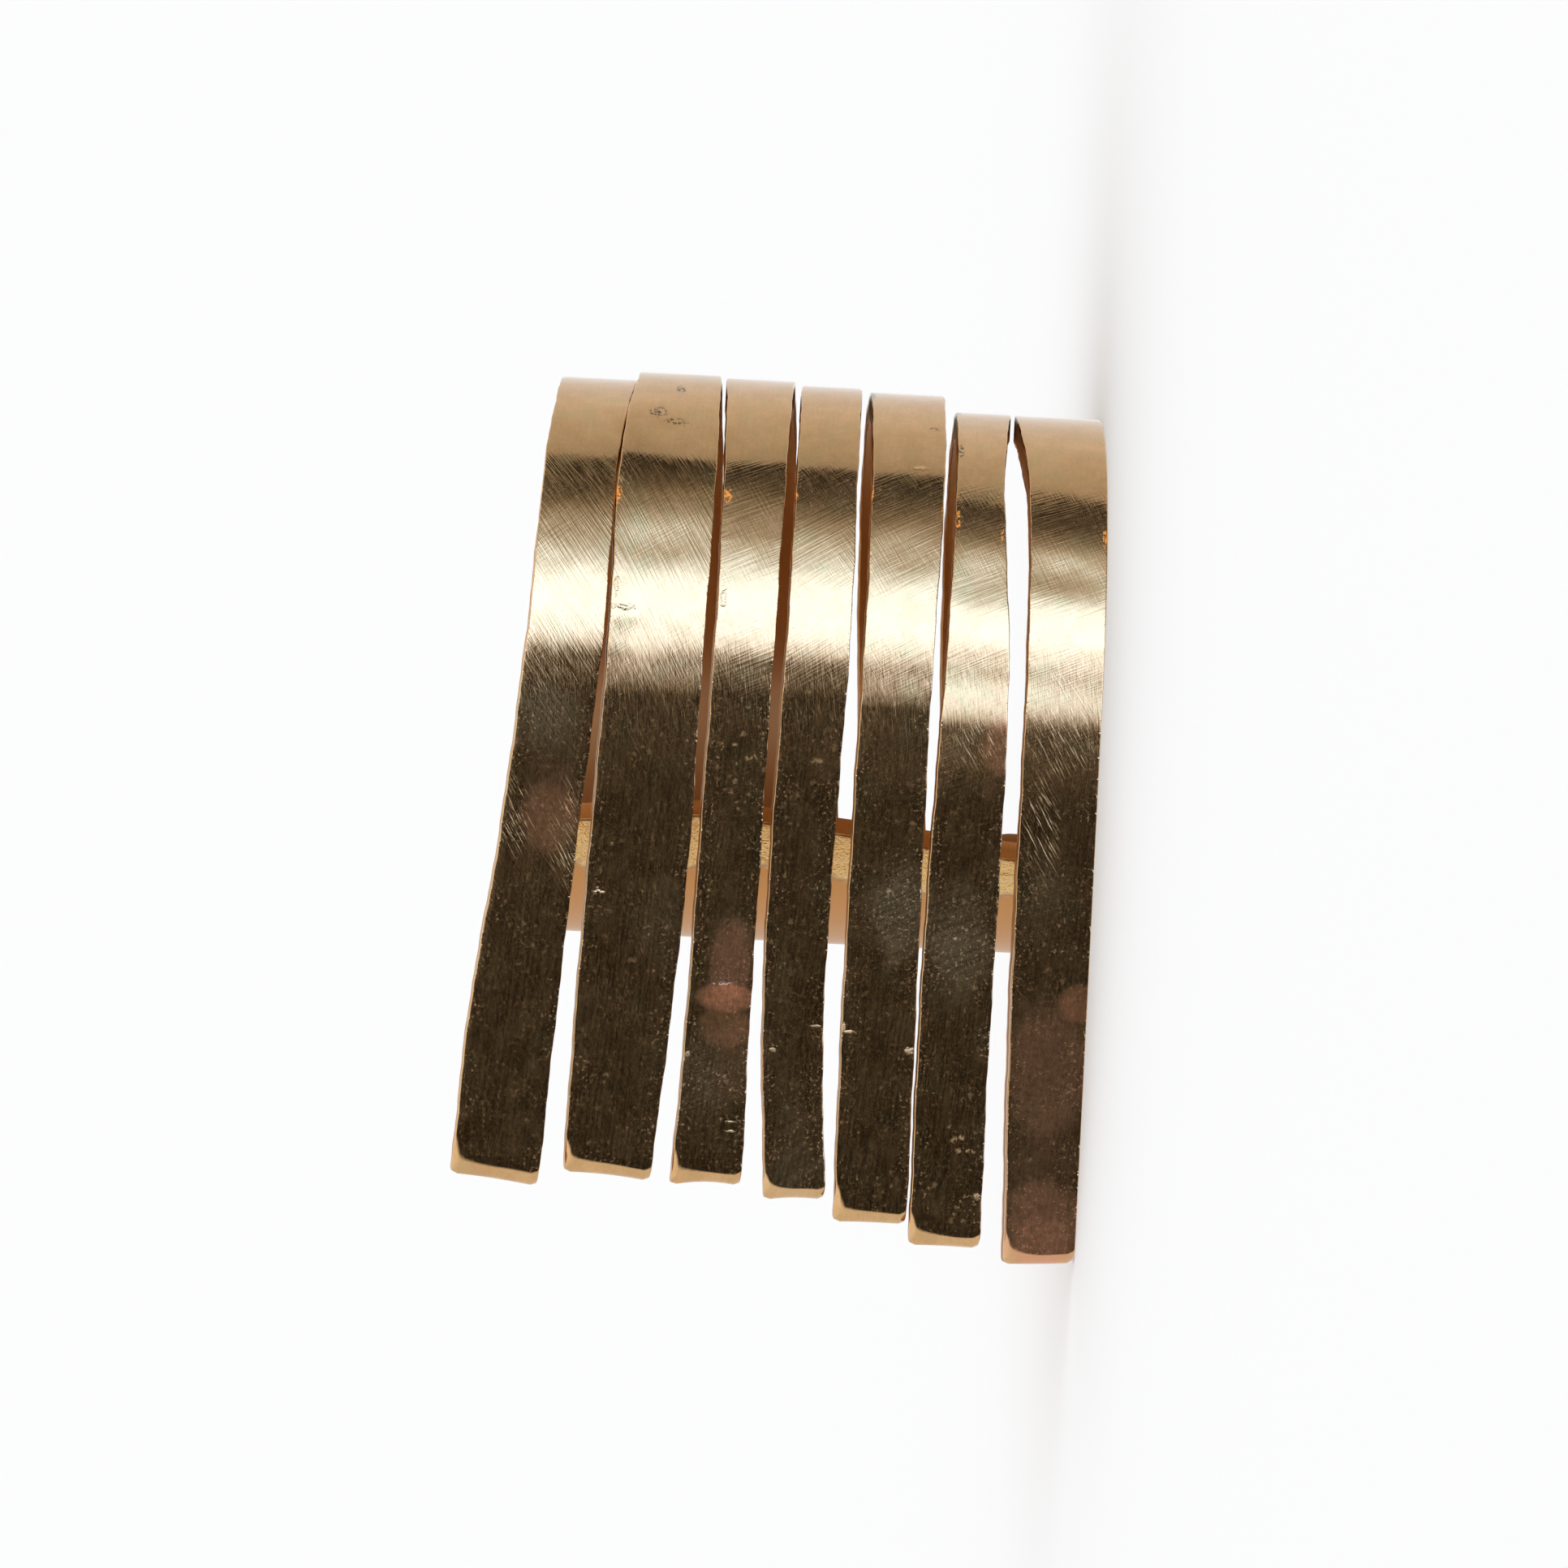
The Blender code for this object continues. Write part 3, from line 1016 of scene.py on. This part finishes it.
def brushed_height(surface, masks):
    """Height of the brushing: main and crossed lines, each in patches of its own, and fainter
    lines along the metal, less and less towards the fold and down the tails."""
    tree = surface.tree
    not_tail = rest_of(tree, surface.tail)
    crossed = sums(tree, "ADD", surface.grain, CROSSING)
    main_lines = lines(surface, surface.grain, length=2.4, width=0.085, sparse=0.4)
    cross_lines = lines(surface, crossed, length=1.8, width=0.075, sparse=0.42)
    long_lines = lines(surface, LONG_TURN, length=1.6, width=0.085, sparse=0.4)
    patchy = remap(tree, surface.broad, 0.36, 0.6)
    other_patches = remap(tree, surface.broad, 0.6, 0.44)
    # Lines that run nearly along the metal tilt the mirror less, so they were cut deeper
    steep = remap(tree, surface.grain, 0.2, -0.2)
    main_share = added(tree, added(tree, 0.3, patchy, 0.7), steep, 1.1)
    cross_share = product(tree, other_patches, added(tree, 1.0, steep, -0.5))
    hatch = added(tree, product(tree, main_lines, main_share), cross_lines, cross_share)
    hatch_depth = added(tree, HATCH_DEPTHS[0], not_tail, HATCH_DEPTHS[1])
    hatch_depth = product(tree, hatch_depth, added(tree, 0.05, surface.brow, 0.95))
    long_depth = added(tree, LONG_DEPTHS[0], not_tail, LONG_DEPTHS[1])
    long_depth = product(tree, long_depth, surface.brow)
    masks["patchy"] = patchy
    masks["main_lines"] = main_lines
    masks["tail_lines"] = product(tree, surface.tail, long_lines)
    # The back has only faint scratches, which show as thin darker lines
    faint = lines(surface, FAINT_TURN, length=2.2, width=0.08, sparse=0.46)
    faint = sums(tree, "MAXIMUM", faint, long_lines)
    masks["faint"] = product(tree, faint, rest_of(tree, surface.brow))
    return added(tree, product(tree, hatch, hatch_depth), long_lines, long_depth)


def worn_masks(surface, masks):
    """Short strokes and raised metal, both with painted highlights, streaks where the light ends
    on the fronts, soft clouds over the brow, the metal's texture, pits, nicks and dots of dust."""
    tree, place = surface.tree, surface.place
    # Short scratches, made pale and dull as a painted highlight
    strokes = lines(surface, STROKE_TURN, length=0.85, width=0.065, sparse=0.52)
    stroked = marks(surface, STROKED, ragged=0.8, fineness=1.2, soft=0.7)
    stroked = product(tree, stroked, surface.outer)
    masks["strokes"] = product(tree, strokes, added(tree, 0.05, stroked, 0.95))
    fronts = product(tree, remap(tree, surface.path, *STREAKS_START),
                     remap(tree, surface.path, *STREAKS_END))
    streaks = lines(surface, STREAK_TURN, length=1.3, width=0.1, sparse=0.36)
    masks["streaks"] = product(tree, fronts, streaks)
    clouds = noise(tree, place, scale=1.1, detail=2.0, roughness=0.5)
    masks["clouds"] = product(tree, clouds, rest_of(tree, surface.tail), surface.brow)
    masks["texture"] = noise(tree, place, scale=6.0, detail=3.0, roughness=0.65)
    pits = marks(surface, PITS, ragged=1.6, fineness=3.0, soft=0.6)
    masks["pits"] = product(tree, pits, patches(surface, "crumbs"))
    masks["nicks"] = marks(surface, NICKS, ragged=2.2, fineness=5.0, soft=0.9)
    # Raised metal, with a painted highlight
    masks["raised"] = marks(surface, BURRS, ragged=2.2, fineness=8.0, soft=0.8)
    dots = placed(tree, surface.specks, Place=place, Spacing=0.4, Size=0.13, Share=0.3)
    fine_dots = placed(tree, surface.specks, Place=place, Spacing=0.22, Size=0.09, Share=0.34)
    dots = sums(tree, "MAXIMUM", dots, fine_dots)
    dusted = marks(surface, DUSTED, ragged=0.9, fineness=1.0, soft=0.8)
    crowd = product(tree, patches(surface, "dusty"), 0.35)
    crowd = added(tree, 0.12, sums(tree, "MAXIMUM", crowd, dusted), 0.88)
    masks["dots"] = product(tree, dots, crowd, surface.brow, surface.outer)


def edge_masks(surface, masks):
    """Burrs on the edges, the coarse sawn walls, and the band's free end: its filed facet and
    the grains of solder that has run out along it."""
    tree, place, end_near = surface.tree, surface.place, surface.end_near
    rim = remap(tree, surface.edge_near, 0.01, 0.09, 1.0, 0.0)
    masks["burrs"] = product(tree, rim, patches(surface, "burred"))
    sawn = noise(tree, place, scale=6.0, detail=3.0, roughness=0.7)
    masks["sawn"] = product(tree, sawn, surface.cut)
    ragged_end = added(tree, end_near, surface.broad, 2.4)
    solder = product(tree, remap(tree, ragged_end, 3.3, 3.0), remap(tree, end_near, 0.02, 0.12))
    grains = noise(tree, place, scale=2.2, detail=4.0, roughness=0.7)
    masks["solder"] = solder
    masks["solder_grains"] = product(tree, grains, solder)
    # The filed facet, whose saturated orange is a painted reflection
    masks["facet"] = remap(tree, end_near, 0.06, 0.02)


def stain_masks(surface, masks):
    """Tarnish, grime, haze, heat stains and blushes, painted glints on the edges, verdigris, and
    tan flecks in crowds and along the edges."""
    tree, outer = surface.tree, surface.outer
    for name in ("cloud", "grit", "olive", "worn", "grime"):
        masks[name] = patches(surface, name)
    fine = patches(surface, "fine")
    sides = remap(tree, surface.edge_near, 0.1, 0.9, 1.25, 0.6)
    masks["flecks"] = product(tree, fine, patches(surface, "crowded"), sides, outer, surface.brow)
    haze = product(tree, marks(surface, HAZES, ragged=0.9, fineness=1.0, soft=0.9), outer)
    masks["haze"] = haze
    masks["haze_grain"] = product(tree, haze, fine)
    masks["haze_lines"] = product(tree, haze, masks["main_lines"])
    mottle = product(tree, patches(surface, "mottled"), outer)
    stain = marks(surface, STAINS, ragged=0.7, fineness=1.2, soft=0.5)
    masks["stain"] = product(tree, stain, mottle)
    blush = marks(surface, BLUSHES, ragged=0.6, fineness=2.0, soft=0.4)
    masks["blush"] = product(tree, blush, mottle)
    # Painted glints of orange light on the edges
    spark = marks(surface, SPARKS, ragged=1.6, fineness=5.0, soft=0.5)
    masks["spark"] = product(tree, spark, patches(surface, "sparkling"))
    masks["green"] = marks(surface, VERDIGRIS, ragged=1.0, fineness=3.0, soft=0.6)


def added_masks(tree, base, masks, amounts):
    """The base plus each named mask times its amount."""
    for name, amount in amounts.items():
        base = added(tree, base, masks[name], amount)
    return base


def worn_gold():
    """Gold-tone metal: a warm mirror with fine crossed scratches, dull mottled tarnish, pits,
    nicks and specks, walls painted orange-brown for shade and bounced light, and a granular
    zone by the band's free end."""
    material, tree, shader = new_material("worn_gold")
    surface = metal_surface(tree)
    masks = {"hidden": surface.hidden, "cut": surface.cut}
    height = brushed_height(surface, masks)
    worn_masks(surface, masks)
    edge_masks(surface, masks)
    stain_masks(surface, masks)

    height = added_masks(tree, height, masks, RELIEF)
    bump = node(tree, "ShaderNodeBump", inputs={
        "Height": height, "Distance": MM, "Strength": 1.0}).outputs[0]
    colour = tint(tree, masks["cloud"], GOLD, DEEP_GOLD)
    for layer in TINTS:
        share = product(tree, masks[layer.mask], layer.share)
        colour = tint(tree, share, colour, layer.colour)
    mirror = rest_of(tree, added_masks(tree, 0.0, masks, DULLER))
    metallic = node(tree, "ShaderNodeClamp", inputs={0: mirror}).outputs[0]
    roughness = added_masks(tree, CLEAN_ROUGHNESS, masks, ROUGHER)
    tree.links.new(colour, shader.inputs["Base Color"])
    tree.links.new(metallic, shader.inputs["Metallic"])
    tree.links.new(roughness, shader.inputs["Roughness"])
    tree.links.new(bump, shader.inputs["Normal"])
    return material


# The studio

class Glow(NamedTuple):
    """The studio's light in one direction: degrees round the finger's axis, 0 behind the ring,
    90 over the photo's top edge and 180 at the camera, and the light's colour, or its level
    where it is grey."""

    turn: float
    colour: float | tuple


SURROUND = (
    Glow(-180, 0.018), Glow(-142, 0.018), Glow(-128, 1.0), Glow(-90, 1.0), Glow(0, 0.98),
    Glow(50, 0.97), Glow(80, 0.72), Glow(90, 0.54), Glow(90.5, 0.035), Glow(98, 0.05),
    Glow(106, 0.14), Glow(114, 0.3), Glow(122, (0.52, 0.55, 0.6)),
    Glow(130, (0.8, 0.96, 1.15)), Glow(138, (1.25, 1.8, 2.8)), Glow(146, (2.0, 3.0, 5.0)),
    Glow(160, (2.3, 3.4, 5.8)), Glow(166, (2.2, 3.2, 5.4)), Glow(169, (1.95, 2.75, 4.5)),
    Glow(171, (1.7, 2.35, 3.7)), Glow(173, (1.22, 1.52, 2.2)), Glow(175, (0.6, 0.68, 0.88)),
    Glow(177, 0.21), Glow(178.4, 0.07), Glow(179.4, 0.024), Glow(180, 0.018),
)


def studio_light():
    """A soft surround of light. Its brightness goes round the finger's axis as it does in the
    photo: white behind and below, dark over the fold, a soft light in front of the brow, and
    the dark of the room where the camera stands. Straight up it is plain white."""
    world = bpy.data.worlds.new("studio")
    bpy.context.scene.world = world
    world.use_nodes = True
    tree = world.node_tree
    tree.nodes.clear()
    direction = node(tree, "ShaderNodeTexCoord").outputs["Generated"]
    parts = node(tree, "ShaderNodeSeparateXYZ", inputs={0: direction}).outputs
    turn = sums(tree, "ARCTAN2", parts["X"], parts["Y"])
    share = sums(tree, "MULTIPLY_ADD", turn, 1 / (2 * math.pi), 0.5)
    ramp = node(tree, "ShaderNodeValToRGB", inputs={"Fac": share})
    stops = ramp.color_ramp.elements
    while len(stops) < len(SURROUND):
        stops.new(0.5)
    for stop, glow in zip(stops, SURROUND):
        stop.position = (glow.turn + 180) / 360
        stop.color = (*np.broadcast_to(glow.colour, 3), 1.0)
    high = remap(tree, parts["Z"], *TOP_STARTS)
    around = tint(tree, high, ramp.outputs["Color"], TOP_LIGHT)
    light = node(tree, "ShaderNodeBackground", inputs={"Color": around})
    plain = node(tree, "ShaderNodeBackground", inputs={"Color": PLAIN_LIGHT})
    # What isn't polished, the floor and the camera see the same white all round
    mirrored = node(tree, "ShaderNodeLightPath").outputs["Is Glossy Ray"]
    mix = node(tree, "ShaderNodeMixShader", inputs={
        0: mirrored, 1: plain.outputs[0], 2: light.outputs[0]})
    node(tree, "ShaderNodeOutputWorld", inputs={"Surface": mix.outputs[0]})


def pale_floor():
    """A plain square, large enough that its far edge is never in view."""
    mesh = bpy.data.meshes.new("floor")
    corners = [(x * FLOOR_HALF, y * FLOOR_HALF, 0) for x, y in ((-1, -1), (1, -1), (1, 1), (-1, 1))]
    mesh.from_pydata(corners, [], [(0, 1, 2, 3)])
    floor = new_object("floor", mesh)
    material, _, shader = new_material("pale_floor")
    shader.inputs["Base Color"].default_value = FLOOR_COLOUR
    shader.inputs["Roughness"].default_value = FLOOR_ROUGHNESS
    mesh.materials.append(material)
    # The polished metal shows the studio round it, not the floor that it lies on
    floor.visible_glossy = False


def photo_camera():
    """The camera of the photo, turned on its side as the ring lies on its side. A point at the
    loop's centre and the floor falls on CENTRE_PIXEL."""
    level = math.radians(VIEW_ELEVATION)
    forward = np.array((0.0, math.cos(level), -math.sin(level)))
    up = np.array((1.0, 0.0, CAMERA_LEAN))
    up -= forward * (up @ forward)
    up /= np.linalg.norm(up)
    right = np.cross(forward, up)
    middle = FRAME_PIXELS / 2
    aim = np.array((*LOOP_CENTRE, 0.0))
    aim += PIXEL * ((middle - CENTRE_PIXEL[0]) * right + (CENTRE_PIXEL[1] - middle) * up)
    data = bpy.data.cameras.new("photo_camera")
    data.sensor_width = SENSOR
    data.lens = SENSOR * STAND_OFF / (FRAME_PIXELS * PIXEL)
    data.clip_start = CLIP_START
    data.clip_end = CLIP_END
    camera = new_object("photo_camera", data)
    place = aim - forward * STAND_OFF
    turned = Matrix.Identity(4)
    for row in range(3):
        turned[row] = (right[row], up[row], -forward[row], place[row])
    camera.matrix_world = turned
    bpy.context.scene.camera = camera


ring = worn_ring()
ring.data.materials.append(worn_gold())
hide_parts("fringe_ring")
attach(ring, "root")

studio_light()
pale_floor()
photo_camera()
bpy.context.scene.view_settings.view_transform = "Standard"
